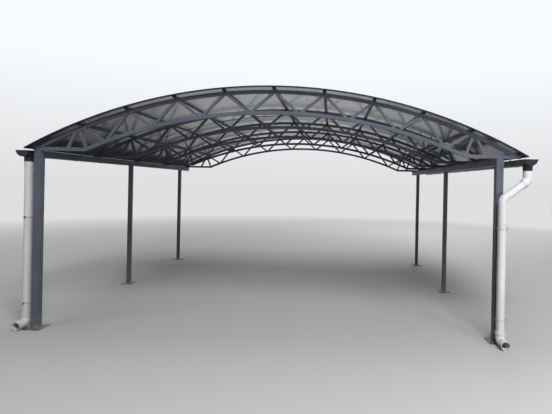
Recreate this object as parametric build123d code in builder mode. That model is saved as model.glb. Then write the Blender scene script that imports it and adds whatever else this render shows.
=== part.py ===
"""Open carport with an arched lattice roof, in millimetres, +Z up.

Six square posts in two rows carry two beams. Five arched trusses stand on the beams, purlins run over
the trusses, and cellular plastic sheets are bent over the purlins. Half-round gutters hang at both
eaves and drain through a pipe beside each front post. X runs across the roof, Y from the front to the
rear. X = 0 is the roof's centre line, Y = 0 the middle of the whole length and Z = 0 the ground.
"""

import os
from math import asin, cos, degrees, radians, sin, sqrt, tan

from build123d import *

os.makedirs("parts", exist_ok=True)

# Clearance between pieces that meet on curved or sloping faces
fit_gap = 0.3

# Posts and their base plates: the rear posts stand in front of the last truss by a setback
post_span = 5360.0
post_rows_offset = -90.0
post_height = 2000.0
front_post_width = 80.0
rear_post_width = 60.0
post_wall = 3.0
middle_post_distance = 2250.0
rear_post_setback = 440.0
plate_size = 200.0
plate_thickness = 10.0
anchor_spacing = 140.0
anchor_hole_radius = 7.0

# Beams along the post rows
beam_width = 80.0
beam_height = 80.0
beam_wall = 3.0
beam_overhang = 30.0
cap_thickness = 3.0

# Trusses: each reaches past the post rows by the same length, and is flat at both ends
truss_count = 5
truss_spacing = 1250.0
truss_end_reach = 140.0
chord_size = 40.0
web_size = 30.0
top_chord_rise = 706.0
truss_depth = 242.0
flat_chord_length = 615.0
flat_web_run = 88.0
web_spread = 27.0
end_node_shift = 36.0
end_web_spread = 48.0
web_overrun = 60.0

# Purlins, spaced evenly along the arch from the crown, and one more over each line of truss ends
purlin_width = 40.0
purlin_height = 20.0
purlin_wall = 2.0
purlin_spacing = 577.0
eave_purlin_inset = 24.0
purlins_per_side = 5
purlin_front_overhang = 50.0
purlin_rear_overhang = 50.0

# Roof sheets and their profiles
sheet_thickness = 10.0
sheet_width = 2100.0
sheet_eave_overhang = 75.0
sheet_front_overhang = 80.0
sheet_rear_overhang = 80.0
sheet_seam = 6.0
seam_strip_width = 50.0
seam_strip_thickness = 2.5
trim_wall = 1.5
trim_depth = 25.0

# Gutters, brackets and outlets
gutter_radius = 75.0
gutter_wall = 2.0
gutter_gap = 20.0
gutter_rim_drop = 21.3
gutter_fall_per_metre = 2.5
gutter_front_overhang = 45.0
gutter_rear_overhang = 45.0
bead_radius = 6.0
bracket_width = 25.0
bracket_thickness = 3.0
brackets_per_bay = 2
bracket_tail = 45.0
end_cap_thickness = 3.0
outlet_flare = 8.0
outlet_wall = 3.0
outlet_drop = 55.0
spigot_length = 40.0

# Downpipes
pipe_radius = 45.0
pipe_wall = 3.0
socket_wall = 5.0
socket_depth = 50.0
sleeve_length = 60.0
collar_length = 36.0
lip_height = 4.0
lip_length = 24.0
pipe_gap_to_post = 35.0
right_outlet_distance = 40.0
left_outlet_distance = 70.0
neck_straight = 117.0
neck_fall = 210.0
neck_bend_radius = 80.0
neck_tail = 290.0
elbow_leg = 76.0
shoe_ground_gap = 1.7
shoe_bend_radius = 60.0
shoe_collar = 5.0
shoe_reach = 170.0
lower_clamp_height = 275.0
upper_clamp_drop = 720.0
clamp_width = 25.0
clamp_thickness = 2.5
clamp_arm_size = 12.0


def arc_radius(half_span, rise):
    """Give the radius of an arc that rises by this much between its end and its middle."""
    return (half_span ** 2 + rise ** 2) / (2 * rise)


# Levels of the beams and of the flat ends of the trusses
beam_bottom = plate_thickness + post_height
beam_top = beam_bottom + beam_height
flat_chord_level = beam_top + chord_size / 2

# The top chord's centre line is an arc that ends level with the top of the beams
truss_half_length = post_span / 2 + truss_end_reach
top_chord_radius = arc_radius(truss_half_length, top_chord_rise + chord_size / 2)
top_arc_centre = flat_chord_level + top_chord_rise - top_chord_radius
chord_underside_radius = top_chord_radius - chord_size / 2

# The bottom chord's centre line is a lower arc between the two kinks
kink = truss_half_length - flat_chord_length
bottom_chord_rise = top_chord_rise - truss_depth
bottom_chord_radius = arc_radius(kink, bottom_chord_rise)
bottom_arc_centre = flat_chord_level + bottom_chord_rise - bottom_chord_radius

# Radii and angles of the purlins and sheets over the top chord
purlin_inner_radius = top_chord_radius + chord_size / 2
sheet_inner_radius = purlin_inner_radius + purlin_height + fit_gap
sheet_outer_radius = sheet_inner_radius + sheet_thickness
eave_angle = degrees(asin((truss_half_length - eave_purlin_inset) / purlin_inner_radius))
pitch_angle = degrees(purlin_spacing / purlin_inner_radius)
sheet_half_angle = eave_angle + degrees(sheet_eave_overhang / sheet_inner_radius)
strip_half_angle = sheet_half_angle - degrees((trim_depth + fit_gap) / sheet_inner_radius)

# Radii of the pipe fittings
pipe_bore = pipe_radius - pipe_wall
socket_inner = pipe_radius + fit_gap
socket_outer = socket_inner + socket_wall
lip_radius = socket_outer + lip_height
spigot_radius = pipe_bore - fit_gap
spigot_bore = spigot_radius - outlet_wall

# Places across the roof, X
post_x = {"left": post_rows_offset - post_span / 2, "right": post_rows_offset + post_span / 2}
side_sign = {"left": -1, "right": 1}

# Places along the roof, measured from the front faces of the front posts
truss_distances = [chord_size / 2 + truss_spacing * i for i in range(truss_count)]
last_truss_back = truss_distances[-1] + chord_size / 2
rear_post_distance = last_truss_back - rear_post_setback - rear_post_width
roof_front = -sheet_front_overhang
roof_rear = last_truss_back + sheet_rear_overhang
beam_length = last_truss_back + beam_overhang
right_pipe_distance = -pipe_gap_to_post - pipe_radius
front_reach = right_pipe_distance - shoe_reach
middle_of_length = (front_reach + roof_rear) / 2


def along(distance):
    """Turn a distance from the front posts' faces into a Y place in the part's frame."""
    return distance - middle_of_length


def arch_point(radius, angle):
    """Give X and Z of a point on the roof's arch, at an angle in degrees from the crown."""
    return (radius * sin(radians(angle)), top_arc_centre + radius * cos(radians(angle)))


def arch_plane(angle, y=0.0):
    """Give a plane across the arch: its x runs along +Y and its y points outwards from the arch."""
    tangent = (cos(radians(angle)), 0, -sin(radians(angle)))
    return Plane(origin=(0, y, top_arc_centre), x_dir=(0, 1, 0), z_dir=tangent)


def height_on_arc(radius, centre, x):
    """Give the height of an arc about the centre line at a place x."""
    return centre + sqrt(radius ** 2 - x ** 2)


arch_axis = Axis((0, 0, top_arc_centre), (0, 1, 0))


def finish(part, name):
    """Label a finished piece and write it."""
    part.label = name
    export_step(part, f"parts/{name}.step")


# Posts: square tubes that stand on the base plates and carry the beams
post_rows = {"front": 0.0, "middle": middle_post_distance, "rear": rear_post_distance}
post_widths = {"front": front_post_width, "middle": rear_post_width, "rear": rear_post_width}
post_places = {}
for row, distance in post_rows.items():
    for side in ("left", "right"):
        width = post_widths[row]
        post_places[(row, side)] = (post_x[side], along(distance + width / 2))
        with BuildPart() as post:
            with BuildSketch(Plane.XY.offset(plate_thickness)):
                with Locations(post_places[(row, side)]):
                    RectangleRounded(width, width, post_wall)
                    Rectangle(width - 2 * post_wall, width - 2 * post_wall, mode=Mode.SUBTRACT)
            extrude(amount=post_height)
        finish(post.part, f"post_{row}_{side}")

# Base plates: one under each post, drilled for four anchors
with BuildPart() as plates:
    with BuildSketch():
        with Locations(*post_places.values()):
            Rectangle(plate_size, plate_size)
        for place in post_places.values():
            with Locations(place):
                with GridLocations(anchor_spacing, anchor_spacing, 2, 2):
                    Circle(anchor_hole_radius, mode=Mode.SUBTRACT)
    extrude(amount=plate_thickness)
finish(plates.part, "base_plates")

# Beams: square tubes lying on each row of posts
for side in ("left", "right"):
    with BuildPart() as beam:
        with BuildSketch(Plane.XZ.offset(-along(cap_thickness))):
            with Locations((post_x[side], beam_bottom + beam_height / 2)):
                RectangleRounded(beam_width, beam_height, beam_wall)
                Rectangle(beam_width - 2 * beam_wall, beam_height - 2 * beam_wall, mode=Mode.SUBTRACT)
        extrude(amount=-(beam_length - 2 * cap_thickness))
    finish(beam.part, f"beam_{side}")

# Beam end caps: flat plates that close the four tube ends
with BuildPart() as beam_caps:
    for distance in (0.0, beam_length - cap_thickness):
        with BuildSketch(Plane.XZ.offset(-along(distance))):
            with Locations(*[(x, beam_bottom + beam_height / 2) for x in post_x.values()]):
                RectangleRounded(beam_width, beam_height, beam_wall)
        extrude(amount=-cap_thickness)
finish(beam_caps.part, "beam_end_caps")

# Truss geometry: top nodes lie under the purlins, bottom nodes midway between them, and the last
# webs of each half meet a little further out than the last inner purlin
top_nodes = [top_chord_radius * sin(radians(pitch_angle * k)) for k in range(purlins_per_side)]
bottom_nodes = [(a + b) / 2 for a, b in zip(top_nodes, top_nodes[1:])]
web_top_radius = chord_underside_radius - fit_gap
web_bottom_radius = bottom_chord_radius + chord_size / 2 + fit_gap
web_flat_level = flat_chord_level + chord_size / 2 + fit_gap


def web_top(x):
    """Give the point on the underside of the top chord at x."""
    return Vector(x, height_on_arc(web_top_radius, top_arc_centre, x))


def web_bottom(x):
    """Give the point on the upper side of the bottom chord at x."""
    return Vector(x, max(height_on_arc(web_bottom_radius, bottom_arc_centre, x), web_flat_level))


def web_lines():
    """List the centre lines of the webs of one half of a truss, from top point to bottom point."""
    lines = []
    end_node = top_nodes[-1] + end_node_shift
    web_ends = [node - web_spread for node in top_nodes[1:-1]] + [end_node - end_web_spread]
    for start, end, node in zip(top_nodes, web_ends, bottom_nodes):
        lines.append((web_top(start + web_spread), web_bottom(node - web_spread)))
        lines.append((web_top(end), web_bottom(node + web_spread)))
    lines.append((web_top(end_node), web_bottom(kink)))
    last_top = end_node + end_web_spread
    lines.append((web_top(last_top), web_bottom(last_top + flat_web_run)))
    return lines


def bottom_chord_outline(inner_radius, outer_radius, low, high):
    """Draw the bottom chord: an arc between two kinks, with a flat length at each end."""
    low_kink = sqrt(inner_radius ** 2 - (low - bottom_arc_centre) ** 2)
    high_kink = sqrt(outer_radius ** 2 - (high - bottom_arc_centre) ** 2)
    end = truss_half_length
    with BuildLine() as outline:
        Polyline((high_kink, high), (end, high), (end, low), (low_kink, low))
        ThreePointArc((low_kink, low), (0, bottom_arc_centre + inner_radius), (-low_kink, low))
        Polyline((-low_kink, low), (-end, low), (-end, high), (-high_kink, high))
        ThreePointArc((-high_kink, high), (0, bottom_arc_centre + outer_radius), (high_kink, high))
    make_face(outline.edges())


ordinals = ("front", "second", "third", "fourth", "fifth", "sixth", "seventh", "eighth")
truss_names = ordinals[:truss_count - 1] + ("rear",)
for name, distance in zip(truss_names, truss_distances):
    truss_plane = Plane.XZ.offset(-along(distance))

    # Top chord: a square tube rolled to the arch, its ends cut level with the beam's top
    with BuildPart() as top_chord:
        chord_end_angle = degrees(asin((truss_half_length + chord_size) / top_chord_radius))
        with BuildSketch(arch_plane(-chord_end_angle)):
            with Locations((along(distance), top_chord_radius)):
                Rectangle(chord_size, chord_size)
        revolve(axis=arch_axis, revolution_arc=2 * chord_end_angle)
        with BuildSketch(truss_plane):
            with Locations((0, beam_top)):
                Rectangle(2 * truss_half_length, top_chord_rise + beam_height, align=(Align.CENTER, Align.MIN))
        extrude(amount=chord_size, both=True, mode=Mode.INTERSECT)
    finish(top_chord.part, f"truss_{name}_top_chord")

    # Bottom chord: flat on the beams at its ends, then kinked up into a lower arch
    with BuildPart() as bottom_chord:
        with BuildSketch(truss_plane):
            bottom_chord_outline(bottom_chord_radius - chord_size / 2, bottom_chord_radius + chord_size / 2,
                                 beam_top, beam_top + chord_size)
            with Locations((0, top_arc_centre)):
                Circle(chord_underside_radius - fit_gap, mode=Mode.INTERSECT)
        extrude(amount=chord_size / 2, both=True)
    finish(bottom_chord.part, f"truss_{name}_bottom_chord")

    # Webs: straight bars in zigzag between the chords, cut to meet both
    with BuildPart() as webs:
        with BuildSketch(truss_plane):
            for high_point, low_point in web_lines():
                for sign in (-1, 1):
                    bar = (high_point - low_point)
                    middle = (high_point + low_point) * 0.5
                    tilt = degrees(asin(bar.X / bar.length)) * sign
                    with Locations(Location((middle.X * sign, middle.Y, 0), (0, 0, -tilt))):
                        Rectangle(web_size, bar.length + web_overrun)
            with Locations((0, top_arc_centre)):
                Circle(web_top_radius, mode=Mode.INTERSECT)
            with Locations((0, bottom_arc_centre)):
                Circle(web_bottom_radius, mode=Mode.SUBTRACT)
            with Locations((0, web_flat_level)):
                Rectangle(2 * truss_half_length, bottom_chord_radius,
                          align=(Align.CENTER, Align.MAX), mode=Mode.SUBTRACT)
        extrude(amount=web_size / 2, both=True)
    finish(webs.part, f"truss_{name}_webs")


def purlin(angle):
    """Lay one purlin tube on the top chords at an angle from the crown."""
    front = along(-purlin_front_overhang)
    length = last_truss_back + purlin_front_overhang + purlin_rear_overhang
    x, z = arch_point(purlin_inner_radius + purlin_height / 2, angle)
    end_plane = Plane(origin=(x, front, z), x_dir=arch_plane(angle).z_dir, z_dir=(0, -1, 0))
    with BuildSketch(end_plane) as section:
        RectangleRounded(purlin_width, purlin_height, purlin_wall)
        Rectangle(purlin_width - 2 * purlin_wall, purlin_height - 2 * purlin_wall, mode=Mode.SUBTRACT)
    extrude(section.sketch, amount=-length)


# Purlins over the inner truss nodes, and the eave purlins over the truss ends
inner_steps = [k for k in range(1 - purlins_per_side, purlins_per_side)]
with BuildPart() as purlins:
    for k in inner_steps:
        purlin(pitch_angle * k)
finish(purlins.part, "purlins")
with BuildPart() as eave_purlins:
    for angle in (-eave_angle, eave_angle):
        purlin(angle)
finish(eave_purlins.part, "eave_purlins")

# Roof sheets: bent over the arch, with a narrow seam between neighbours
sheet_edges = [roof_front + trim_wall]
while sheet_edges[-1] + sheet_width < roof_rear - trim_wall - sheet_seam:
    sheet_edges.append(sheet_edges[-1] + sheet_width)
sheet_edges.append(roof_rear - trim_wall)
sheet_names = ("front", "middle", "rear") + ordinals[3:]
for name, start, end in zip(sheet_names, sheet_edges, sheet_edges[1:]):
    first = start if start == sheet_edges[0] else start + sheet_seam / 2
    last = end if end == sheet_edges[-1] else end - sheet_seam / 2
    with BuildPart() as sheet:
        with BuildSketch(arch_plane(-sheet_half_angle)):
            with Locations((along((first + last) / 2), sheet_inner_radius + sheet_thickness / 2)):
                Rectangle(last - first, sheet_thickness)
        revolve(axis=arch_axis, revolution_arc=2 * sheet_half_angle)
    finish(sheet.part, f"roof_sheet_{name}")

# Seam strips: a flat cap over each seam with a web between the sheets
with BuildPart() as seam_strips:
    for seam in sheet_edges[1:-1]:
        with BuildSketch(arch_plane(-strip_half_angle)):
            with Locations((along(seam), sheet_outer_radius)):
                Rectangle(seam_strip_width, seam_strip_thickness, align=(Align.CENTER, Align.MIN))
                Rectangle(sheet_seam, sheet_thickness, align=(Align.CENTER, Align.MAX))
        revolve(axis=arch_axis, revolution_arc=2 * strip_half_angle)
finish(seam_strips.part, "roof_seam_strips")

# Arch trims: thin channels over the curved front and rear edges of the sheets
with BuildPart() as arch_trims:
    for edge, inward in ((roof_front, Align.MIN), (roof_rear, Align.MAX)):
        with BuildSketch(arch_plane(-strip_half_angle)):
            with Locations((along(edge), sheet_inner_radius - trim_wall)):
                Rectangle(trim_depth, sheet_thickness + 2 * trim_wall, align=(inward, Align.MIN))
            opening = edge + trim_wall if inward == Align.MIN else edge - trim_wall
            with Locations((along(opening), sheet_inner_radius)):
                Rectangle(trim_depth, sheet_thickness, align=(inward, Align.MIN), mode=Mode.SUBTRACT)
        revolve(axis=arch_axis, revolution_arc=2 * strip_half_angle)
finish(arch_trims.part, "roof_arch_trims")

# Eave trims: thin channels over the low straight edges of the sheets
trim_length = roof_rear - roof_front
trim_opening = sheet_thickness + 2 * fit_gap
with BuildPart() as eave_trims:
    for sign in (-1, 1):
        x, z = arch_point(sheet_inner_radius + sheet_thickness / 2, sign * sheet_half_angle)
        outwards = arch_plane(sign * sheet_half_angle).z_dir * sign
        edge_plane = Plane(origin=(x, along(roof_front), z), x_dir=outwards, z_dir=(0, -1, 0))
        with BuildSketch(edge_plane):
            with Locations((trim_wall + fit_gap, 0)):
                Rectangle(trim_depth, trim_opening + 2 * trim_wall, align=(Align.MAX, Align.CENTER))
            with Locations((fit_gap, 0)):
                Rectangle(trim_depth, trim_opening, align=(Align.MAX, Align.CENTER), mode=Mode.SUBTRACT)
        extrude(amount=-trim_length)
finish(eave_trims.part, "roof_eave_trims")

# Gutter lines: both gutters hang under the sheets' edges and fall towards their outlets at the front
gutter_distance = truss_half_length + gutter_gap + gutter_radius
gutter_rim_height = arch_point(sheet_inner_radius, sheet_half_angle)[1] - gutter_rim_drop
gutter_front = -gutter_front_overhang
gutter_length = last_truss_back + gutter_front_overhang + gutter_rear_overhang
gutter_slope = gutter_fall_per_metre / 1000.0
outlet_distances = {"left": left_outlet_distance, "right": right_outlet_distance}


def rim_height(distance):
    """Give the height of the gutter's rim at a distance from the front posts' faces."""
    return gutter_rim_height + gutter_slope * (distance - gutter_front)


def gutter_plane(side, distance):
    """Give a plane across a gutter at its rim, square to the sloping gutter, seen from the front."""
    origin = (side_sign[side] * gutter_distance, along(distance), rim_height(distance))
    return Plane(origin=origin, x_dir=(1, 0, 0), z_dir=(0, -1, -gutter_slope))


def half_ring(outer, inner):
    """Draw the lower half of a ring."""
    Circle(outer)
    Circle(inner, mode=Mode.SUBTRACT)
    Rectangle(2 * outer, outer, align=(Align.CENTER, Align.MIN), mode=Mode.SUBTRACT)


for side in ("left", "right"):
    outlet_place = (side_sign[side] * gutter_distance, along(outlet_distances[side]))
    with BuildPart() as gutter:
        with BuildSketch(gutter_plane(side, gutter_front)):
            half_ring(gutter_radius, gutter_radius - gutter_wall)
            with Locations((side_sign[side] * (gutter_radius + bead_radius - gutter_wall), -bead_radius)):
                Circle(bead_radius)
        extrude(amount=-gutter_length)
        with BuildSketch(Plane.XY.offset(gutter_rim_height)):
            with Locations(outlet_place):
                Circle(spigot_bore)
        extrude(amount=-2 * gutter_radius, mode=Mode.SUBTRACT)
    finish(gutter.part, f"gutter_{side}")

# Gutter end caps: half-round discs with a lip that grips the gutter from outside
with BuildPart() as end_caps:
    for side in ("left", "right"):
        for distance, inward in ((gutter_front, -1), (gutter_front + gutter_length, 1)):
            with BuildSketch(gutter_plane(side, distance)):
                Circle(gutter_radius + fit_gap)
                Rectangle(3 * gutter_radius, 3 * gutter_radius, align=(Align.CENTER, Align.MIN),
                          mode=Mode.SUBTRACT)
            extrude(amount=-inward * end_cap_thickness)
finish(end_caps.part, "gutter_end_caps")

# Gutter brackets: flat hoops under the gutter with a tail screwed under the eave purlin
bracket_inner = gutter_radius + fit_gap
bracket_outer = bracket_inner + bracket_thickness
bead_drop = 2 * bead_radius + fit_gap
tail_x, tail_z = arch_point(purlin_inner_radius, eave_angle)
bracket_distances = []
for bay in range(truss_count - 1):
    for i in range(brackets_per_bay):
        bracket_distances.append(truss_distances[bay] + truss_spacing * (i + 0.5) / brackets_per_bay)
with BuildPart() as brackets:
    for side in ("left", "right"):
        for distance in bracket_distances:
            rim = rim_height(distance)
            bend_x = gutter_distance - bracket_inner
            bend_z = tail_z - tan(radians(eave_angle)) * (bend_x - tail_x) - fit_gap
            origin = (0, along(distance), 0)
            bracket_plane = Plane(origin=origin, x_dir=(side_sign[side], 0, 0), z_dir=(0, -side_sign[side], 0))
            with BuildSketch(bracket_plane):
                with Locations((gutter_distance, rim)):
                    half_ring(bracket_outer, bracket_inner)
                with Locations((gutter_distance, rim - bead_drop)):
                    Rectangle(2 * bracket_outer, bead_drop, align=(Align.MIN, Align.MIN), mode=Mode.SUBTRACT)
                with Locations((bend_x, rim)):
                    Rectangle(bracket_thickness, bend_z - rim, align=(Align.MAX, Align.MIN))
                with Locations(Location((bend_x, bend_z, 0), (0, 0, 180 - eave_angle))):
                    Rectangle(bracket_tail, bracket_thickness, align=(Align.MIN, Align.MIN))
            extrude(amount=bracket_width / 2, both=True)
finish(brackets.part, "gutter_brackets")

# Outlets: funnels under the gutters that end in a spigot inside the pipe
outlet_foot = {}
for side in ("left", "right"):
    rim = rim_height(outlet_distances[side])
    foot = rim - gutter_radius - outlet_drop
    outlet_foot[side] = foot
    place = (side_sign[side] * gutter_distance, along(outlet_distances[side]))
    with BuildPart() as outlet:
        with BuildSketch(Plane.XY.offset(foot)):
            with Locations(place):
                Circle(socket_outer)
        with BuildSketch(Plane.XY.offset(rim - gutter_radius / 2)):
            with Locations(place):
                Circle(socket_outer + outlet_flare)
        loft()
        with BuildSketch(Plane.XY.offset(foot - spigot_length)):
            with Locations(place):
                Circle(spigot_radius)
        extrude(amount=spigot_length)
        with BuildSketch(Plane.XY.offset(foot - spigot_length)):
            with Locations(place):
                Circle(spigot_bore)
        extrude(amount=spigot_length + outlet_drop + gutter_radius, mode=Mode.SUBTRACT)
        with BuildSketch(gutter_plane(side, gutter_front)):
            Circle(gutter_radius + fit_gap)
            Rectangle(3 * gutter_radius, 3 * gutter_radius, align=(Align.CENTER, Align.MIN))
        extrude(amount=-gutter_length, mode=Mode.SUBTRACT)
    finish(outlet.part, f"gutter_outlet_{side}")


def ring(outer, inner):
    """Draw a pipe's cross-section."""
    Circle(outer)
    Circle(inner, mode=Mode.SUBTRACT)


# Right neck: a double bend from the gutter's outlet to the front of the post, with a spigot that
# plugs into the straight pipe
pipe_place = {"left": (-gutter_distance, along(left_outlet_distance)),
              "right": (post_x["right"], along(right_pipe_distance))}
neck_top_height = outlet_foot["right"] - neck_straight
neck_foot_height = neck_top_height - neck_fall
neck_end_height = neck_foot_height - neck_tail
neck_start = Vector(gutter_distance, along(right_outlet_distance), outlet_foot["right"] - fit_gap)
upper_corner = Vector(neck_start.X, neck_start.Y, neck_top_height)
lower_corner = Vector(*pipe_place["right"], neck_foot_height)
neck_end = Vector(*pipe_place["right"], neck_end_height)
elbow_end = upper_corner + (lower_corner - upper_corner).normalized() * elbow_leg
with BuildPart() as neck:
    with BuildLine() as neck_line:
        FilletPolyline(neck_start, upper_corner, lower_corner, neck_end, radius=neck_bend_radius)
    with BuildSketch(Plane(origin=neck_line.line @ 0, z_dir=neck_line.line % 0)):
        ring(pipe_radius, pipe_bore)
    sweep()
    with BuildSketch(Plane.XY.offset(neck_end_height)):
        with Locations(pipe_place["right"]):
            ring(pipe_radius, spigot_bore)
    extrude(amount=pipe_wall)
    with BuildSketch(Plane.XY.offset(neck_end_height)):
        with Locations(pipe_place["right"]):
            ring(spigot_radius, spigot_bore)
    extrude(amount=-spigot_length)
finish(neck.part, "downpipe_right_neck")

# Straight pipes and the shoes that turn the water out at the foot
shoe_axis_height = socket_outer + shoe_ground_gap
shoe_top = shoe_axis_height + shoe_bend_radius + shoe_collar
left_stub_top = outlet_foot["left"] - fit_gap
left_stub_foot = left_stub_top - sleeve_length / 2
pipe_tops = {"left": left_stub_foot - fit_gap, "right": neck_end_height - fit_gap}
for side in ("left", "right"):
    x, y = pipe_place[side]
    with BuildPart() as pipe:
        with BuildSketch(Plane.XY.offset(shoe_top)):
            with Locations((x, y)):
                ring(pipe_radius, pipe_bore)
        extrude(amount=pipe_tops[side] - shoe_top)
    finish(pipe.part, f"downpipe_{side}")

for side in ("left", "right"):
    x, y = pipe_place[side]
    with BuildPart() as shoe:
        with BuildLine() as shoe_line:
            FilletPolyline((x, y, shoe_top - fit_gap), (x, y, shoe_axis_height),
                           (x, y - shoe_reach, shoe_axis_height), radius=shoe_bend_radius)
        with BuildSketch(Plane(origin=shoe_line.line @ 0, z_dir=shoe_line.line % 0)):
            ring(socket_outer, pipe_bore)
        sweep()
        with BuildSketch(Plane.XZ.offset(shoe_reach - y)):
            with Locations((x, shoe_axis_height)):
                Circle(socket_inner)
        extrude(amount=-socket_depth, mode=Mode.SUBTRACT)
    finish(shoe.part, f"downpipe_shoe_{side}")

# Couplings: a collar with a raised lip on each shoe, a sleeve under the left outlet with a stub of
# pipe inside its upper half, and a wider elbow over the right neck's upper bend
with BuildPart() as couplings:
    for place in pipe_place.values():
        with BuildSketch(Plane.XY.offset(shoe_top)):
            with Locations(place):
                ring(socket_outer, socket_inner)
        extrude(amount=collar_length)
        with BuildSketch(Plane.XY.offset(shoe_top + collar_length - lip_length)):
            with Locations(place):
                ring(lip_radius, socket_inner)
        extrude(amount=lip_length)
    with BuildSketch(Plane.XY.offset(left_stub_top - sleeve_length)):
        with Locations(pipe_place["left"]):
            ring(socket_outer, socket_inner)
    extrude(amount=sleeve_length)
    with BuildSketch(Plane.XY.offset(left_stub_foot)):
        with Locations(pipe_place["left"]):
            ring(pipe_radius, pipe_bore)
    extrude(amount=left_stub_top - left_stub_foot)
    with BuildLine() as elbow_line:
        FilletPolyline(neck_start, upper_corner, elbow_end, radius=neck_bend_radius)
    with BuildSketch(Plane(origin=elbow_line.line @ 0, z_dir=elbow_line.line % 0)):
        ring(socket_outer, socket_inner)
    sweep(path=elbow_line.line)
finish(couplings.part, "downpipe_couplings")

# Clamps: bands round the pipes, each on a short arm from its post
band_radius = socket_inner + clamp_thickness
left_arm = post_x["left"] - front_post_width / 2 - pipe_place["left"][0]
right_arm = along(0) - pipe_place["right"][1]
with BuildPart() as clamps:
    for height in (lower_clamp_height, beam_bottom - upper_clamp_drop):
        for side, arm, turn in (("left", left_arm, 0), ("right", right_arm, 90)):
            with BuildSketch(Plane.XY.offset(height)):
                with Locations(Location((*pipe_place[side], 0), (0, 0, turn))):
                    Rectangle(arm, clamp_arm_size, align=(Align.MIN, Align.CENTER))
                    Circle(band_radius)
                    Circle(socket_inner, mode=Mode.SUBTRACT)
            extrude(amount=clamp_width)
finish(clamps.part, "downpipe_clamps")
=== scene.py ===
"""Looks of the arched carport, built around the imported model, in metres, +Z up.

X runs across the roof, Y from the front to the rear. The file follows the carport as it is put up:
posts and base plates, beams, trusses, purlins, roof sheets, gutters and downpipes, then the setting.
"""

from math import asin, cos, pi, sin, sqrt

import bmesh
import bpy
from mathutils import Matrix, Vector


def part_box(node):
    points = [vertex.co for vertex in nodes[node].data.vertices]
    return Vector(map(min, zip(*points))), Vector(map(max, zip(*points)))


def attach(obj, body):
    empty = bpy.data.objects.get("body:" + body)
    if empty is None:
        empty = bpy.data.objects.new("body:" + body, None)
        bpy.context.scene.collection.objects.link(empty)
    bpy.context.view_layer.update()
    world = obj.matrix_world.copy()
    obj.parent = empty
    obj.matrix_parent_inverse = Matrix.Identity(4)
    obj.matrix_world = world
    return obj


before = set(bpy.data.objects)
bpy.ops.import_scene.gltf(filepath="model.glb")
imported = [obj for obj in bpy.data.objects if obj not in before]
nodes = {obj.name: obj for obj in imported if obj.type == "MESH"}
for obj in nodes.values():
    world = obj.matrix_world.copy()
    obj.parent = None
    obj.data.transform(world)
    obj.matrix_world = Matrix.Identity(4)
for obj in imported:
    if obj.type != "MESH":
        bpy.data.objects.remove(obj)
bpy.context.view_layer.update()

# ---------------------------------------------------------------- Posts
# Six square steel tubes in two rows, welded to their base plates and under the beams, and sprayed
# graphite grey. The paint has a fine orange peel and cloudy tone changes, and road dust lies near
# the ground and on upper faces.


def start_material(name):
    """Give a new material with its node tree and its Principled shader."""
    material = bpy.data.materials.new(name)
    material.use_nodes = True
    tree = material.node_tree
    return material, tree, tree.nodes["Principled BSDF"]


def place_on_object(tree, scale=(1, 1, 1)):
    """Give the output of a Mapping node on the object's own coordinates."""
    coordinates = tree.nodes.new("ShaderNodeTexCoord")
    mapping = tree.nodes.new("ShaderNodeMapping")
    mapping.inputs["Scale"].default_value = scale
    tree.links.new(coordinates.outputs["Object"], mapping.inputs["Vector"])
    return mapping.outputs["Vector"]


def clouds(tree, size, detail=3.0, stretch=(1, 1, 1)):
    """Give the output of a noise whose blotches are about this size in metres."""
    noise = tree.nodes.new("ShaderNodeTexNoise")
    noise.inputs["Scale"].default_value = 1 / size
    noise.inputs["Detail"].default_value = detail
    tree.links.new(place_on_object(tree, stretch), noise.inputs["Vector"])
    return noise.outputs["Fac"]


def tones(tree, factor, stops):
    """Give the colour output of a ramp with these (place, colour) stops."""
    ramp = tree.nodes.new("ShaderNodeValToRGB")
    while len(ramp.color_ramp.elements) < len(stops):
        ramp.color_ramp.elements.new(0.5)
    for element, (place, colour) in zip(ramp.color_ramp.elements, stops):
        element.position = place
        element.color = (*colour, 1)
    tree.links.new(factor, ramp.inputs["Fac"])
    return ramp.outputs["Color"]


def spread(tree, factor, low, high, start=0.0, end=1.0):
    """Give a number that goes from low to high as the factor goes from start to end."""
    span = tree.nodes.new("ShaderNodeMapRange")
    span.inputs["From Min"].default_value = start
    span.inputs["From Max"].default_value = end
    span.inputs["To Min"].default_value = low
    span.inputs["To Max"].default_value = high
    tree.links.new(factor, span.inputs["Value"])
    return span.outputs["Result"]


def mix_colours(tree, factor, below, above):
    """Give the mix of two colours, each of them an output or a plain colour."""
    mix = tree.nodes.new("ShaderNodeMix")
    mix.data_type = "RGBA"
    tree.links.new(factor, mix.inputs["Factor"])
    for socket, colour in ((mix.inputs["A"], below), (mix.inputs["B"], above)):
        if isinstance(colour, tuple):
            socket.default_value = (*colour, 1)
        else:
            tree.links.new(colour, socket)
    return mix.outputs["Result"]


def multiply(tree, first, second):
    """Give the product of two factors, each of them an output or a number."""
    product = tree.nodes.new("ShaderNodeMath")
    product.operation = "MULTIPLY"
    for socket, value in zip(product.inputs, (first, second)):
        if isinstance(value, (int, float)):
            socket.default_value = value
        else:
            tree.links.new(value, socket)
    return product.outputs["Value"]


def height_above_ground(tree):
    """Give the height of a point in metres."""
    split = tree.nodes.new("ShaderNodeSeparateXYZ")
    tree.links.new(place_on_object(tree), split.inputs["Vector"])
    return split.outputs["Z"]


def upward(tree):
    """Give 1 on a level upper face, 0 on a wall and -1 on an underside."""
    face = tree.nodes.new("ShaderNodeNewGeometry")
    split = tree.nodes.new("ShaderNodeSeparateXYZ")
    tree.links.new(face.outputs["Normal"], split.inputs["Vector"])
    return split.outputs["Z"]


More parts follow.
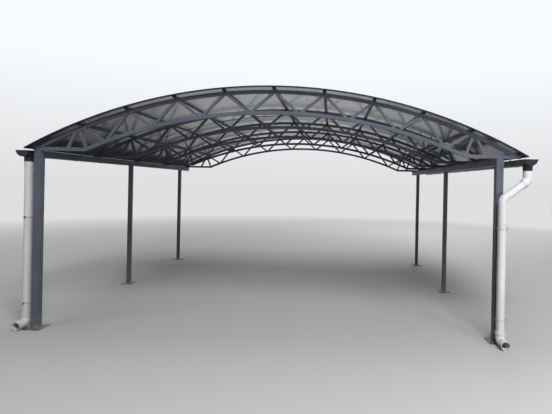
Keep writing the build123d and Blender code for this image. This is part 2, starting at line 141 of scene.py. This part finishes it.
def grain(tree, shader, factor, strength, depth):
    """Raise the surface a little by a factor."""
    bump = tree.nodes.new("ShaderNodeBump")
    bump.inputs["Strength"].default_value = strength
    bump.inputs["Distance"].default_value = depth
    tree.links.new(factor, bump.inputs["Height"])
    tree.links.new(bump.outputs["Normal"], shader.inputs["Normal"])


def patchy_roughness(tree, shader, size, smooth, dull, detail=3.0):
    """Let the roughness wander between two values, in patches of about this size in metres."""
    patches = spread(tree, clouds(tree, size, detail), smooth, dull, start=0.3, end=0.7)
    tree.links.new(patches, shader.inputs["Roughness"])


def sprayed_paint(name, dark, light, rough=0.42, peel=(0.004, 0.12, 0.0006)):
    """Give sprayed paint; its peel is the size, strength and depth of the fine bumps."""
    road_dust = (0.24, 0.23, 0.22)
    material, tree, shader = start_material(name)
    coat = tones(tree, clouds(tree, 0.35, detail=4), ((0.35, dark), (0.68, light)))
    dust_edge = clouds(tree, 0.05, detail=5)
    low_part = spread(tree, height_above_ground(tree), 1.0, 0.0, start=0.01, end=0.22)
    splashed = multiply(tree, low_part, spread(tree, dust_edge, 0.0, 1.0, start=0.42, end=0.7))
    upper_face = spread(tree, upward(tree), 0.0, 0.5, start=0.6, end=0.95)
    settled = multiply(tree, upper_face, spread(tree, dust_edge, 0.25, 1.0, start=0.35, end=0.65))
    colour = mix_colours(tree, settled, mix_colours(tree, splashed, coat, road_dust), road_dust)
    tree.links.new(colour, shader.inputs["Base Color"])
    patchy_roughness(tree, shader, 0.12, rough - 0.07, rough + 0.1)
    shader.inputs["Specular IOR Level"].default_value = 0.14
    peel_size, peel_strength, peel_depth = peel
    grain(tree, shader, clouds(tree, peel_size, detail=2), strength=peel_strength, depth=peel_depth)
    return material


def dress(node_names, material):
    """Give CAD nodes a material."""
    for node_name in node_names:
        for slot in nodes[node_name].material_slots:
            slot.material = material


def add_piece(name, mesh, material):
    """Make an object of a finished bmesh, riding on the frame, with its material and slot."""
    bmesh.ops.recalc_face_normals(mesh, faces=mesh.faces)
    data = bpy.data.meshes.new(name)
    mesh.to_mesh(data)
    mesh.free()
    data.materials.append(material)
    piece = bpy.data.objects.new(name, data)
    bpy.context.scene.collection.objects.link(piece)
    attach(piece, "root")


def frame_at(origin, along, outward):
    """Give the matrix of a place on a surface: x along it, z outward."""
    x, z = Vector(along).normalized(), Vector(outward).normalized()
    turned = Matrix((x, z.cross(x), z)).transposed().to_4x4()
    turned.translation = origin
    return turned


def edges_of(corners):
    """List the edges that meet at these corners, each of them once."""
    return list(dict.fromkeys(edge for corner in corners for edge in corner.link_edges))


def round_edges(mesh, edges, width, steps):
    """Round edges of a bmesh in this many steps."""
    bmesh.ops.bevel(mesh, geom=edges, offset=width, offset_type="OFFSET", segments=steps,
                    profile=0.5, affect="EDGES", material=-1)


def weld_collar(mesh, place, foot, head, height, slide=0.0):
    """Lay a weld fillet round a square bar that stands on a place.

    The foot and the head are the fillet's half sizes at its wide and its thin rim, along x and
    along y, and the thin rim is moved by the slide along x where the bar leans.
    """
    made = bmesh.ops.create_cone(mesh, cap_ends=True, segments=4, radius1=sqrt(2), radius2=sqrt(2), depth=1)
    corners = made["verts"]
    bmesh.ops.rotate(mesh, verts=corners, cent=(0, 0, 0), matrix=Matrix.Rotation(pi / 4, 3, "Z"))
    low = [v for v in corners if v.co.z < 0]
    high = [v for v in corners if v.co.z > 0]
    bmesh.ops.scale(mesh, verts=low, vec=(*foot, height))
    bmesh.ops.scale(mesh, verts=high, vec=(*head, height))
    bmesh.ops.translate(mesh, verts=corners, vec=(0, 0, height / 2))
    bmesh.ops.translate(mesh, verts=high, vec=(slide, 0, 0))
    bmesh.ops.transform(mesh, verts=corners, matrix=place)
    thin_rim = [edge for edge in edges_of(high) if all(v in high for v in edge.verts)]
    round_edges(mesh, thin_rim, width=height * 0.35, steps=2)


paint_dark, paint_light = (0.102, 0.108, 0.142), (0.136, 0.143, 0.186)
weld_shade = (0.092, 0.098, 0.129)
weld_peel = (0.005, 0.55, 0.0012)
frame_paint = sprayed_paint("graphite_frame_paint", paint_dark, paint_light)
weld_paint = sprayed_paint("graphite_weld_paint", weld_shade, paint_light, rough=0.40, peel=weld_peel)
post_names = [n for n in nodes if n.startswith("post_")]
dress(post_names, frame_paint)

# A fillet's thin rim stands off its tube by the film, and stays inside the beam's sides.
beam_half, beam_underside = 0.040, 2.010
foot_leg, top_leg = 0.006, 0.004
film, thin_film = 0.0004, 0.0003
post_welds = bmesh.new()
for post_name in post_names:
    low, high = (Vector(corner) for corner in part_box(post_name))
    middle, half = (low + high) / 2, (high.x - low.x) / 2
    foot = frame_at((middle.x, middle.y, low.z), (1, 0, 0), (0, 0, 1))
    weld_collar(post_welds, foot, (half + foot_leg, half + foot_leg), (half + film, half + film), foot_leg)
    top = frame_at((middle.x, middle.y, beam_underside), (1, 0, 0), (0, 0, -1))
    wide_rim = (min(half + top_leg, beam_half - film), half + top_leg)
    thin_rim = (min(half + thin_film, beam_half - film / 2), half + film)
    weld_collar(post_welds, top, wide_rim, thin_rim, top_leg)
add_piece("post_welds", post_welds, weld_paint)

# ---------------------------------------------------------------- Base plates
# Square plates of hot-dipped zinc steel under the posts, each drilled for four anchors.
# The zinc has gone dull and dusty, with faint crystal spangle and a little bloom.


def zinc_skin(name, dark, light, bloom_colour=(0.50, 0.50, 0.49)):
    """Give dull galvanised steel with its crystal spangle and its bloom."""
    crystals_per_metre = 55
    material, tree, shader = start_material(name)
    crystals = tree.nodes.new("ShaderNodeTexVoronoi")
    crystals.inputs["Scale"].default_value = crystals_per_metre
    tree.links.new(place_on_object(tree), crystals.inputs["Vector"])
    split = tree.nodes.new("ShaderNodeSeparateColor")
    tree.links.new(crystals.outputs["Color"], split.inputs["Color"])
    spangle = tones(tree, split.outputs["Red"], ((0.0, dark), (1.0, light)))
    bloom = spread(tree, clouds(tree, 0.06, detail=5), 0.0, 0.7, start=0.45, end=0.65)
    tree.links.new(mix_colours(tree, bloom, spangle, bloom_colour), shader.inputs["Base Color"])
    shader.inputs["Metallic"].default_value = 0.35
    tree.links.new(spread(tree, split.outputs["Red"], 0.42, 0.6), shader.inputs["Roughness"])
    grain(tree, shader, clouds(tree, 0.01), strength=0.15, depth=0.0005)
    return material


dull_bloom = (0.22, 0.215, 0.21)
plate_zinc = zinc_skin("zinc_base_plates", (0.11, 0.112, 0.12), (0.19, 0.192, 0.20), dull_bloom)
dress(["base_plates"], plate_zinc)

# ---------------------------------------------------------------- Beams
# A square steel tube lies along the top of each post row and carries the trusses' ends. Its ends are
# closed by welded plates whose seams show as thin beads, and it is sprayed like the posts.

dress(["beam_left", "beam_right", "beam_end_caps"], frame_paint)
beam_level = beam_underside + beam_half
seam_width, seam_stand = 0.003, 0.0011
seam_half = beam_half + seam_stand
beam_seams = bmesh.new()
for beam_name in ("beam_left", "beam_right"):
    low, high = (Vector(corner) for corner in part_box(beam_name))
    for y in (low.y, high.y):
        seam = frame_at(((low.x + high.x) / 2, y - seam_width / 2, beam_level), (1, 0, 0), (0, 1, 0))
        weld_collar(beam_seams, seam, (seam_half, seam_half), (seam_half, seam_half), seam_width)
add_piece("beam_cap_seams", beam_seams, weld_paint)

# ---------------------------------------------------------------- Trusses
# Five lattice arches of square tube. Both chords are rolled to true arcs, the webs run in zigzag
# between them, and every web end, chord foot and crossing is welded.

truss_names = ("front", "second", "third", "fourth", "rear")
first_line, line_spacing = -2.415, 1.25
truss_lines = [first_line + line_spacing * i for i in range(len(truss_names))]
for truss_name in truss_names:
    dress([f"truss_{truss_name}_{part}" for part in ("top_chord", "bottom_chord", "webs")], frame_paint)


def arc_radius(half_span, rise):
    """Give the radius of an arc that rises by this much between its end and its middle."""
    return (half_span ** 2 + rise ** 2) / (2 * rise)


chord_half, web_half, purlin_half = 0.020, 0.015, 0.020
arch_reach, top_rise, lattice_depth, flat_level = 2.820, 0.706, 0.242, 2.110
top_radius = arc_radius(arch_reach, top_rise + chord_half)
top_centre = flat_level + top_rise - top_radius
kink = 2.205
bottom_radius = arc_radius(kink, top_rise - lattice_depth)
bottom_centre = flat_level + top_rise - lattice_depth - bottom_radius
purlin_seat = top_radius + chord_half
purlin_spacing = 0.577
inner_angles = [purlin_spacing / purlin_seat * k for k in range(-4, 5)]


def place_on_arch(angle, y, radius):
    """Give the matrix of a place at this radius of the arch: x along the arch, z outward."""
    way = Vector((sin(angle), 0, cos(angle)))
    return frame_at(Vector((0, y, top_centre)) + way * radius, Vector((0, 1, 0)).cross(way), way)


def top_weld_place(x):
    """Give a point on the underside of the top chord and the way out of the chord there."""
    radius = top_radius - chord_half
    point = Vector((x, 0, top_centre + sqrt(radius ** 2 - x ** 2)))
    return point, (Vector((0, 0, top_centre)) - point).normalized()


def bottom_weld_place(x):
    """Give a point on the upper side of the bottom chord and the way out of the chord there."""
    radius = bottom_radius + chord_half
    height = bottom_centre + sqrt(radius ** 2 - x ** 2)
    if height > flat_level + chord_half:
        point = Vector((x, 0, height))
        return point, (point - Vector((0, 0, bottom_centre))).normalized()
    return Vector((x, 0, flat_level + chord_half)), Vector((0, 0, 1))


# The webs meet the top chord beside the nodes under the purlins. The last node lies a little
# further out, where three webs end, and the shortest of them reaches down to the flat length.
web_gap, last_gap = 0.027, 0.048
last_shift, last_reach = 0.036, 0.136
top_nodes = [top_radius * sin(angle) for angle in inner_angles if angle >= 0]
last_node = top_nodes[-1] + last_shift
web_ends = [node - web_gap for node in top_nodes[1:-1]] + [last_node - last_gap]
web_joints = [(last_node, kink), (last_node + last_gap, last_node + last_reach)]
for start, end, following in zip(top_nodes, web_ends, top_nodes[1:]):
    low_node = (start + following) / 2
    web_joints += [(start + web_gap, low_node - web_gap), (end, low_node + web_gap)]

# A fillet that runs along a tube's side ends short of the tube's rounded edges by the set-back.
weld_leg, side_leg, seat_leg = 0.005, 0.004, 0.0045
wide_setback, thin_setback = 0.0015, 0.002
beam_places = (-2.770, 2.590)
for truss_name, line in zip(truss_names, truss_lines):
    welds = bmesh.new()
    for high_x, low_x in web_joints:
        for side in (-1, 1):
            upper, upper_way = top_weld_place(high_x * side)
            lower, lower_way = bottom_weld_place(low_x * side)
            bar = (upper - lower).normalized()
            for point, way, away in ((upper, upper_way, -bar), (lower, lower_way, bar)):
                along = Vector((0, 1, 0)).cross(way)
                lean = away.dot(along) / away.dot(way)
                cut = web_half * sqrt(1 + lean ** 2)
                weld_collar(welds, frame_at(point + Vector((0, line, 0)), along, way),
                            (cut + weld_leg, web_half + side_leg), (cut + film, web_half + film),
                            weld_leg, lean * weld_leg)
    for angle in inner_angles:
        weld_collar(welds, place_on_arch(angle, line, purlin_seat),
                    (purlin_half + seat_leg, chord_half - wide_setback),
                    (purlin_half + thin_film, chord_half - thin_setback), seat_leg)
    for beam_x in beam_places:
        foot = frame_at((beam_x, line, flat_level - chord_half), (1, 0, 0), (0, 0, 1))
        weld_collar(welds, foot, (beam_half - wide_setback, chord_half + weld_leg),
                    (beam_half - thin_setback, chord_half + thin_film), weld_leg)
    add_piece(f"truss_welds_{truss_name}", welds, weld_paint)

# ---------------------------------------------------------------- Purlins
# Flat tubes welded across the top chords, with black push-in plugs in their open ends.
# Each plug has a raised rim round a shallow dish.

dress(["purlins", "eave_purlins"], frame_paint)


def matte_plastic(name, dark, light, rough=0.5):
    """Give dull moulded plastic with a fine texture."""
    material, tree, shader = start_material(name)
    skin = tones(tree, clouds(tree, 0.05, detail=4), ((0.35, dark), (0.65, light)))
    tree.links.new(skin, shader.inputs["Base Color"])
    patchy_roughness(tree, shader, 0.02, rough - 0.06, rough + 0.1)
    shader.inputs["Specular IOR Level"].default_value = 0.3
    grain(tree, shader, clouds(tree, 0.0012, detail=2), strength=0.2, depth=0.0003)
    return material


def add_block(mesh, place, size, edge_width, steps):
    """Add a block with rounded edges at a place."""
    corners = bmesh.ops.create_cube(mesh, size=1)["verts"]
    bmesh.ops.scale(mesh, verts=corners, vec=size)
    bmesh.ops.transform(mesh, verts=corners, matrix=place)
    round_edges(mesh, edges_of(corners), edge_width, steps)


plug_plastic = matte_plastic("black_plug_plastic", (0.010, 0.010, 0.012), (0.018, 0.018, 0.020))
eave_setback = 0.024
eave_angle = asin((arch_reach - eave_setback) / purlin_seat)
purlin_angles = [-eave_angle, *inner_angles, eave_angle]
purlin_front, purlin_rear = -2.485, 2.655
purlin_height = 0.020
plug_size, plug_edge = (0.0385, 0.0185, 0.003), 0.0009
plug_rim, dish_slope, dish_depth = 0.0035, 0.0012, 0.0012
facing_out, smallest_plug_face = 0.99, 0.0004
plugs = bmesh.new()
for angle in purlin_angles:
    way = Vector((sin(angle), 0, cos(angle)))
    for y, outward in ((purlin_front, Vector((0, -1, 0))), (purlin_rear, Vector((0, 1, 0)))):
        middle = Vector((0, y, top_centre)) + way * (purlin_seat + purlin_height / 2)
        add_block(plugs, frame_at(middle, way.cross(outward), outward), plug_size, plug_edge, steps=2)
plugs.normal_update()
faces = [face for face in plugs.faces
         if abs(face.normal.y) > facing_out and face.calc_area() > smallest_plug_face]
bmesh.ops.inset_individual(plugs, faces=faces, thickness=plug_rim, depth=0)
bmesh.ops.inset_individual(plugs, faces=faces, thickness=dish_slope, depth=-dish_depth)
add_piece("purlin_end_plugs", plugs, plug_plastic)

# ---------------------------------------------------------------- Roof sheets
# Three smoked twin-wall plastic sheets, bent cold over the purlins and held by screws with wide
# dark washers. Fine ribs run along the arch, and the sheets let some light through.


def smoked_sheet(name):
    """Give smoked twin-wall plastic with ribs along the arch, streaks of dried rain, and painted shade
    towards the eaves.
    """
    rib_pitch, waves_per_unit = 0.011, 20 / (2 * pi)
    rib_colour, film_colour = (0.062, 0.069, 0.092), (0.033, 0.038, 0.053)
    haze_colour, streak_colour = (0.062, 0.071, 0.094), (0.105, 0.109, 0.120)
    material, tree, shader = start_material(name)
    ribs = tree.nodes.new("ShaderNodeTexWave")
    ribs.wave_type = "BANDS"
    ribs.bands_direction = "Y"
    ribs.inputs["Scale"].default_value = 1 / (waves_per_unit * rib_pitch)
    ribs.inputs["Distortion"].default_value = 0
    tree.links.new(place_on_object(tree), ribs.inputs["Vector"])
    wall = tones(tree, ribs.outputs["Fac"], ((0.06, rib_colour), (0.30, film_colour)))
    haze = spread(tree, clouds(tree, 0.7, stretch=(1, 0.3, 1)), 0.0, 0.35, start=0.4, end=0.7)
    hazy = mix_colours(tree, haze, wall, haze_colour)
    streaks = spread(tree, clouds(tree, 0.05, detail=5, stretch=(0.08, 1, 0.08)), 0.0, 0.30,
                     start=0.50, end=0.72)
    tree.links.new(mix_colours(tree, streaks, hazy, streak_colour), shader.inputs["Base Color"])
    wiped = clouds(tree, 0.05, detail=4, stretch=(0.1, 1, 0.1))
    tree.links.new(spread(tree, wiped, 0.07, 0.20, start=0.35, end=0.7), shader.inputs["Roughness"])
    rib_light = spread(tree, ribs.outputs["Fac"], 0.55, 1.0, start=0.06, end=0.30)
    # Lower down, towards the eaves, the sheet lets less light through and looks darker: this is painted
    # shade.
    painted_shade_towards_eaves = spread(tree, height_above_ground(tree), 0.13, 0.51, start=2.25, end=2.80)
    tree.links.new(spread(tree, multiply(tree, rib_light, painted_shade_towards_eaves), 1.0, 0.0), shader.inputs["Alpha"])
    shader.inputs["IOR"].default_value = 1.58
    grain(tree, shader, clouds(tree, 0.25, detail=1), strength=0.08, depth=0.002)
    return material


sheet_plastic = smoked_sheet("smoked_roof_sheet")
dress([n for n in nodes if n.startswith("roof_sheet_")], sheet_plastic)
trim_plastic = sprayed_paint("dark_trim_plastic", (0.030, 0.027, 0.030), (0.045, 0.040, 0.044), rough=0.34)
dress(["roof_seam_strips", "roof_arch_trims", "roof_eave_trims"], trim_plastic)

# Each row of screws runs along a purlin on one sheet: its first and last place and its count.
sheet_gap, sheet_thickness = 0.0003, 0.010
sheet_back = purlin_seat + purlin_height + sheet_gap + sheet_thickness
screw_rows = ((-2.445, -0.485, 5), (-0.345, 1.615, 5), (1.765, 2.610, 3))
washer = {"segments": 14, "radius1": 0.0125, "radius2": 0.0105, "depth": 0.0012}
screw_head = {"segments": 6, "radius1": 0.0048, "radius2": 0.0040, "depth": 0.0010}
washer_lift, head_lift = 0.0006, 0.0016
screws = bmesh.new()
for angle in purlin_angles:
    for first, last, count in screw_rows:
        for i in range(count):
            place = place_on_arch(angle, first + (last - first) * i / (count - 1), sheet_back)
            for part, lift in ((washer, washer_lift), (screw_head, head_lift)):
                bmesh.ops.create_cone(screws, cap_ends=True, **part,
                                      matrix=place @ Matrix.Translation((0, 0, lift)))
add_piece("roof_screws", screws, plug_plastic)

# ---------------------------------------------------------------- Gutters
# Half-round gutters of graphite plastic with a rolled bead on the outer rim, closed by end caps.
# They hang in steel hoops whose tails are screwed under the eave purlins.


def moulded_plastic(name, dark, light, rough, dirt, gloss):
    """Give smooth extruded plastic with faint dirt, and mud splashes near the ground."""
    mud = (0.42, 0.38, 0.34)
    material, tree, shader = start_material(name)
    skin = tones(tree, clouds(tree, 0.5), ((0.35, dark), (0.68, light)))
    grime = spread(tree, clouds(tree, 0.09, detail=6, stretch=(1, 1, 0.25)), 0.0, 0.5, start=0.52, end=0.75)
    low_part = spread(tree, height_above_ground(tree), 0.75, 0.0, start=0.0, end=0.30)
    splash = multiply(tree, low_part, spread(tree, clouds(tree, 0.035, detail=5), 0.0, 1.0,
                                             start=0.40, end=0.68))
    colour = mix_colours(tree, splash, mix_colours(tree, grime, skin, dirt), mud)
    tree.links.new(colour, shader.inputs["Base Color"])
    patchy_roughness(tree, shader, 0.03, rough - 0.05, rough + 0.1, detail=4)
    shader.inputs["Specular IOR Level"].default_value = gloss
    grain(tree, shader, clouds(tree, 0.02), strength=0.08, depth=0.0006)
    return material


def add_dome(mesh, place, radius, flatness, sides, rings):
    """Add the round head of a screw at a place, flattened along z."""
    bmesh.ops.create_uvsphere(mesh, u_segments=sides, v_segments=rings, radius=radius,
                              matrix=place @ Matrix.Diagonal((1, 1, flatness, 1)))


gutter_plastic = moulded_plastic("graphite_gutter_plastic", (0.021, 0.022, 0.028), (0.035, 0.036, 0.044),
                                 rough=0.34, dirt=(0.060, 0.060, 0.058), gloss=0.22)
dress(["gutter_left", "gutter_right", "gutter_end_caps", "gutter_outlet_left", "gutter_outlet_right"],
      gutter_plastic)
dress(["gutter_brackets"], frame_paint)

# A hoop's tail starts at its bend, beside the gutter, and slants up under the eave purlin.
gutter_line, hoop_radius = 2.915, 0.0753
hoop_bend_x = gutter_line - hoop_radius
hoop_bend_z = top_centre + purlin_seat * cos(eave_angle) - sheet_gap
hoop_bend_z -= (hoop_bend_x - purlin_seat * sin(eave_angle)) * sin(eave_angle) / cos(eave_angle)
first_bracket, bracket_spacing, bracket_count = -2.1025, 0.625, 8
bracket_lines = [first_bracket + bracket_spacing * k for k in range(bracket_count)]
screw_step, screw_reach, tail_thickness = 0.006, 0.037, 0.003
bracket_screws = bmesh.new()
for side in (-1, 1):
    outward = Vector((-sin(eave_angle) * side, 0, -cos(eave_angle)))
    inward = Vector((-cos(eave_angle) * side, 0, sin(eave_angle)))
    for line in bracket_lines:
        for step in (-screw_step, screw_step):
            bend = Vector((hoop_bend_x * side, line + step, hoop_bend_z))
            seat = bend + inward * screw_reach + outward * tail_thickness
            add_dome(bracket_screws, frame_at(seat, (0, 1, 0), outward), radius=0.0038, flatness=0.6,
                     sides=10, rings=6)
screw_zinc = zinc_skin("zinc_screws", (0.30, 0.31, 0.32), (0.46, 0.47, 0.48))
add_piece("bracket_screws", bracket_screws, screw_zinc)

# ---------------------------------------------------------------- Downpipes
# White sewer-grade plastic pipes with elbows and collars, held to the front posts by pale coated
# clamps with dull zinc bolts. The white is slightly lilac, with streaks of rain dirt, and each
# joint has a grey rubber seal.

pipe_plastic = moulded_plastic("white_pipe_plastic", (0.70, 0.70, 0.73), (0.76, 0.76, 0.79),
                               rough=0.32, dirt=(0.58, 0.56, 0.57), gloss=0.4)
dress(["downpipe_left", "downpipe_right", "downpipe_right_neck", "downpipe_shoe_left",
       "downpipe_shoe_right", "downpipe_couplings"], pipe_plastic)


def coated_steel(name, coat, bare):
    """Give steel band in a pale baked coat, chipped to the metal in small spots."""
    material, tree, shader = start_material(name)
    faded = tuple(part * 1.08 for part in coat)
    tone = tones(tree, clouds(tree, 0.06, detail=4), ((0.35, coat), (0.68, faded)))
    chips = spread(tree, clouds(tree, 0.006, detail=4), 0.0, 1.0, start=0.66, end=0.69)
    tree.links.new(mix_colours(tree, chips, tone, bare), shader.inputs["Base Color"])
    tree.links.new(multiply(tree, chips, 0.8), shader.inputs["Metallic"])
    patchy_roughness(tree, shader, 0.01, 0.36, 0.5)
    grain(tree, shader, clouds(tree, 0.0015, detail=2), strength=0.12, depth=0.0003)
    return material


clamp_coating = coated_steel("pale_clamp_coating", (0.56, 0.56, 0.59), (0.20, 0.20, 0.21))
dress(["downpipe_clamps"], clamp_coating)

# A seal is a thin ring that stands proud of its pipe where the pipe enters a collar.
left_pipe, right_pipe = Vector((-2.915, -2.365, 0)), Vector((2.590, -2.515, 0))
upper_bend, lower_bend = Vector((2.915, -2.395, 1.8398)), Vector((2.590, -2.515, 1.6298))
bend_way = (lower_bend - upper_bend).normalized()
pipe_radius = 0.045
level = Vector((0, 0, 1))
shoe_joint, left_top_joint, right_sleeve_joint, neck_joint = 0.1531, 1.8964, 1.3397, 0.0762
seal_radius, seal_stand = 0.0013, 0.0006
seal_sides, seal_steps = 8, 40
seals = bmesh.new()
seal_places = [(left_pipe + level * shoe_joint, level), (right_pipe + level * shoe_joint, level),
               (left_pipe + level * left_top_joint, level), (right_pipe + level * right_sleeve_joint, level),
               (upper_bend + bend_way * neck_joint, bend_way)]
for place, way in seal_places:
    section = bmesh.ops.create_circle(seals, segments=seal_sides, radius=seal_radius)["verts"]
    bmesh.ops.rotate(seals, verts=section, cent=(0, 0, 0), matrix=Matrix.Rotation(pi / 2, 3, "X"))
    bmesh.ops.translate(seals, verts=section, vec=(pipe_radius + seal_stand, 0, 0))
    bmesh.ops.transform(seals, verts=section, matrix=frame_at(place, way.orthogonal(), way))
    bmesh.ops.spin(seals, geom=edges_of(section), cent=place, axis=way, angle=2 * pi,
                   steps=seal_steps, use_merge=True)
seal_rubber = matte_plastic("grey_seal_rubber", (0.24, 0.24, 0.25), (0.32, 0.32, 0.33), rough=0.6)
add_piece("pipe_seals", seals, seal_rubber)

# Two ears at either side of a clamp, drawn together by a bolt. Its head, nut and shank are given
# by their place along the bolt, sides, radius and length.
clamp_levels = (0.2875, 1.3025)
ear_place, ear_offset = 0.0545, 0.0021
ear_size, ear_edge = (0.0152, 0.022, 0.0025), 0.0007
bolt_shift, bolt_taper = 0.0015, 0.94
bolt_parts = ((-0.0055, 6, 0.0052, 0.004), (0.0055, 6, 0.0052, 0.0045), (0.0, 12, 0.003, 0.020))
clamp_ears = bmesh.new()
for pipe, arm_way in ((left_pipe, Vector((1, 0, 0))), (right_pipe, Vector((0, 1, 0)))):
    ear_way = level.cross(arm_way)
    for height in clamp_levels:
        for side in (-1, 1):
            middle = pipe + level * height + ear_way * side * ear_place
            for offset in (-ear_offset, ear_offset):
                place = frame_at(middle + arm_way * offset, ear_way, arm_way)
                add_block(clamp_ears, place, ear_size, ear_edge, steps=1)
            bolt = frame_at(middle + ear_way * side * bolt_shift, ear_way, arm_way)
            for shift, sides, radius, length in bolt_parts:
                bmesh.ops.create_cone(clamp_ears, cap_ends=True, segments=sides, radius1=radius,
                                      radius2=radius * bolt_taper, depth=length,
                                      matrix=bolt @ Matrix.Translation((0, 0, shift)))
bolt_bloom = (0.27, 0.27, 0.265)
clamp_zinc = zinc_skin("zinc_clamp_bolts", (0.15, 0.155, 0.16), (0.25, 0.255, 0.26), bolt_bloom)
add_piece("clamp_bolts", clamp_ears, clamp_zinc)

shoe_screw_x, shoe_screw_y, shoe_screw_z = 0.0501, -0.0176, 0.0696
shoe_screws = bmesh.new()
for pipe, side in ((left_pipe, 1), (right_pipe, -1)):
    seat = pipe + Vector((shoe_screw_x * side, shoe_screw_y, shoe_screw_z))
    add_dome(shoe_screws, frame_at(seat, (0, 1, 0), (side, 0, 0)), radius=0.0055, flatness=0.5,
             sides=12, rings=8)
add_piece("shoe_screws", shoe_screws, screw_zinc)

# ---------------------------------------------------------------- Floor
# A plain pale floor that takes the object's shadow and fades into the pale background far away.
# For the light that it throws back on the object it counts as darker than it looks.

bpy.context.scene.view_settings.view_transform = "Standard"
horizon = (0.74, 0.74, 0.74)
floor_colour, seen_floor_colour = (0.11, 0.11, 0.11), (0.50, 0.50, 0.50)
fade_start, fade_end = 4.5, 16.0


def seen_as_background(tree):
    """Give 1 for what the camera, reflections and clear pieces show, and 0 for light on the object."""
    ray = tree.nodes.new("ShaderNodeLightPath")
    seen = ray.outputs["Is Camera Ray"]
    for kind in ("Is Transmission Ray", "Is Glossy Ray"):
        larger = tree.nodes.new("ShaderNodeMath")
        larger.operation = "MAXIMUM"
        tree.links.new(seen, larger.inputs[0])
        tree.links.new(ray.outputs[kind], larger.inputs[1])
        seen = larger.outputs["Value"]
    return seen


floor_mesh = bmesh.new()
bmesh.ops.create_circle(floor_mesh, cap_ends=True, segments=96, radius=60)
floor_data = bpy.data.meshes.new("studio_floor")
floor_mesh.to_mesh(floor_data)
floor_mesh.free()
studio_floor = bpy.data.objects.new("studio_floor", floor_data)
bpy.context.scene.collection.objects.link(studio_floor)

floor_material, floor_tree, floor_shader = start_material("pale_floor")
floor_shader.inputs["Roughness"].default_value = 0.9
floor_shader.inputs["Specular IOR Level"].default_value = 0.1
distant = floor_tree.nodes.new("ShaderNodeEmission")
distant.inputs["Color"].default_value = (*horizon, 1)
distance = floor_tree.nodes.new("ShaderNodeVectorMath")
distance.operation = "LENGTH"
floor_tree.links.new(place_on_object(floor_tree), distance.inputs[0])
floor_seen = seen_as_background(floor_tree)
floor_tree.links.new(mix_colours(floor_tree, floor_seen, floor_colour, seen_floor_colour),
                     floor_shader.inputs["Base Color"])
far_away = spread(floor_tree, distance.outputs["Value"], 0.0, 1.0, fade_start, fade_end)
blend_far = floor_tree.nodes.new("ShaderNodeMixShader")
floor_tree.links.new(multiply(floor_tree, far_away, floor_seen), blend_far.inputs["Fac"])
floor_tree.links.new(floor_shader.outputs["BSDF"], blend_far.inputs[1])
floor_tree.links.new(distant.outputs["Emission"], blend_far.inputs[2])
floor_tree.links.new(blend_far.outputs["Shader"], floor_tree.nodes["Material Output"].inputs["Surface"])
floor_data.materials.append(floor_material)

# ---------------------------------------------------------------- Light
# A pale background that turns a cool white upwards for the camera, for reflections and through the
# roof, a weak even light on the object, and soft lamps above the front, low at the right front, at
# the left, behind and over the roof.

sky_top, sky_top_height = (0.93, 0.96, 1.0), 0.25
sky_light, seen_sky_light = 0.09, 1.0
world = bpy.data.worlds.new("studio")
world.use_nodes = True
bpy.context.scene.world = world
sky_tree = world.node_tree
sky = sky_tree.nodes["Background"]
sky_way = sky_tree.nodes.new("ShaderNodeTexCoord")
sky_split = sky_tree.nodes.new("ShaderNodeSeparateXYZ")
sky_tree.links.new(sky_way.outputs["Generated"], sky_split.inputs["Vector"])
sky_tones = tones(sky_tree, sky_split.outputs["Z"], ((0.0, horizon), (sky_top_height, sky_top)))
sky_tree.links.new(sky_tones, sky.inputs["Color"])
sky_tree.links.new(spread(sky_tree, seen_as_background(sky_tree), sky_light, seen_sky_light),
                   sky.inputs["Strength"])


def area_lamp(name, place, target, size, power):
    """Hang a broad soft lamp that looks at a point and is not mirrored in glossy surfaces."""
    data = bpy.data.lights.new(name, "AREA")
    data.shape = "SQUARE"
    data.size = size
    data.energy = power
    lamp = bpy.data.objects.new(name, data)
    lamp.location = place
    lamp.rotation_euler = (Vector(target) - Vector(place)).to_track_quat("-Z", "Y").to_euler()
    lamp.visible_camera = False
    lamp.visible_glossy = False
    bpy.context.scene.collection.objects.link(lamp)


area_lamp("front_top_lamp", (2.2, -8.0, 7.8), target=(0.4, -2.4, 1.9), size=3.2, power=690)
area_lamp("front_right_lamp", (4.6, -6.0, 1.3), target=(2.6, -2.5, 0.6), size=1.3, power=85)
area_lamp("left_side_lamp", (-6.5, -5.2, 2.2), target=(-2.9, -2.3, 1.0), size=2.0, power=45)
area_lamp("rear_lamp", (5.0, 10.0, 6.0), target=(0, 2, 1.2), size=5.0, power=400)
area_lamp("overhead_lamp", (0.0, 2.0, 10.0), target=(0, 0, 0), size=9.0, power=600)

# ---------------------------------------------------------------- Camera
# It stands in front of the carport at eye height, a little right of the middle, turned slightly
# to the left and rolled by about one degree.

eye = Vector((0.689, -7.235, 1.760))
turn_left, roll = 0.0267, 0.0201
level_right = Vector((cos(turn_left), sin(turn_left), 0))
forward = Vector((-sin(turn_left), cos(turn_left), 0))
camera_right = level_right * cos(roll) + level * sin(roll)
camera_up = level * cos(roll) - level_right * sin(roll)
camera_data = bpy.data.cameras.new("camera")
camera_data.sensor_width = 36
camera_data.lens = 27.26
camera_data.shift_x = -0.0821
camera_data.shift_y = -0.0415
camera_data.clip_end = 200
camera = bpy.data.objects.new("camera", camera_data)
camera.matrix_world = Matrix((camera_right, camera_up, -forward)).transposed().to_4x4()
camera.location = eye
bpy.context.scene.collection.objects.link(camera)
bpy.context.scene.camera = camera
